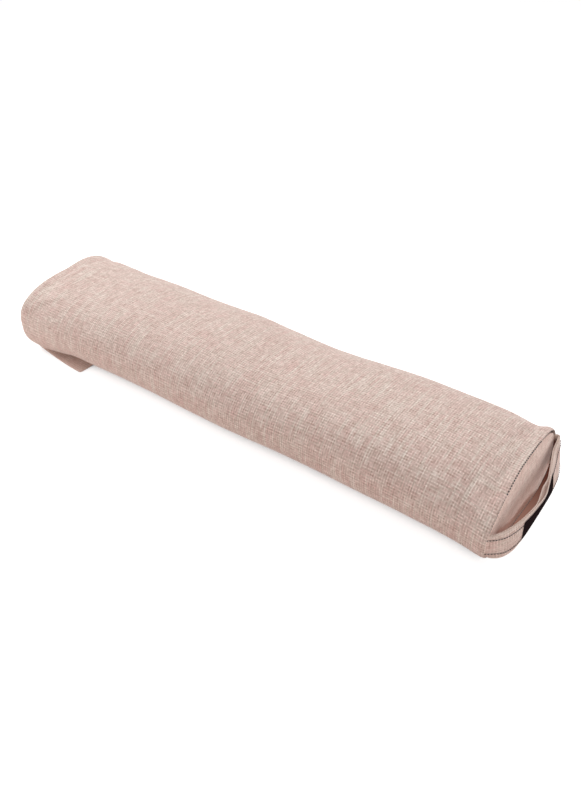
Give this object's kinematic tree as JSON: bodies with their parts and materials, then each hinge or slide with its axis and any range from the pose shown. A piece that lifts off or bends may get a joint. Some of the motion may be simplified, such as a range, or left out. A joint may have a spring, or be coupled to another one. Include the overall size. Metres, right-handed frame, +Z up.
{
  "type": "yoga bolster",
  "caption": "Long oval yoga bolster with a removable linen-look cover, a sewn strap handle across one end and a closing flap folded under the other.",
  "frame": {"origin": "centre of the flat rest on the bolster's underside, on the floor", "axes": "+X along the bolster to its handle end, +Z up from the floor, +Y across the bolster"},
  "size_m": [0.746, 0.1938, 0.0985],
  "materials": {
    "cover_linen": "matt linen-look weave of cream and dusty pink threads",
    "strap_linen": "the same weave, two layers sewn with dark thread",
    "label_satin": "black woven satin, bare",
    "lining_cotton": "plain undyed cotton",
    "cotton_filling": "cotton batting",
    "hook_tape": "woven tape with small plastic hooks",
    "loop_tape": "brushed loop tape"
  },
  "bodies": {
    "cushion": {"cover_tube": "cover_linen", "near_end_panel": "cover_linen", "far_end_panel": "cover_linen", "hook_strip": "hook_tape", "liner_bag": "lining_cotton", "liner_mouth_panel": "lining_cotton", "filling_core": "cotton_filling", "handle_end_front": "strap_linen", "handle_end_rear": "strap_linen"},
    "handle": {"handle_outer_layer": "strap_linen", "handle_inner_layer": "strap_linen", "handle_label": "label_satin"},
    "flap": {"closing_flap": "cover_linen", "loop_strip": "loop_tape"}
  },
  "joints": [
    {"name": "handle_tilt", "type": "hinge", "parent": "cushion", "child": "handle", "pos_m": [0.3566, 0, 0.04], "axis": [0, -1, 0], "range_deg": [-22, 16]},
    {"name": "flap_fold", "type": "hinge", "parent": "cushion", "child": "flap", "pos_m": [-0.3535, 0, 0.0015], "axis": [0, 1, 0], "range_deg": [0, 180]}
  ]
}
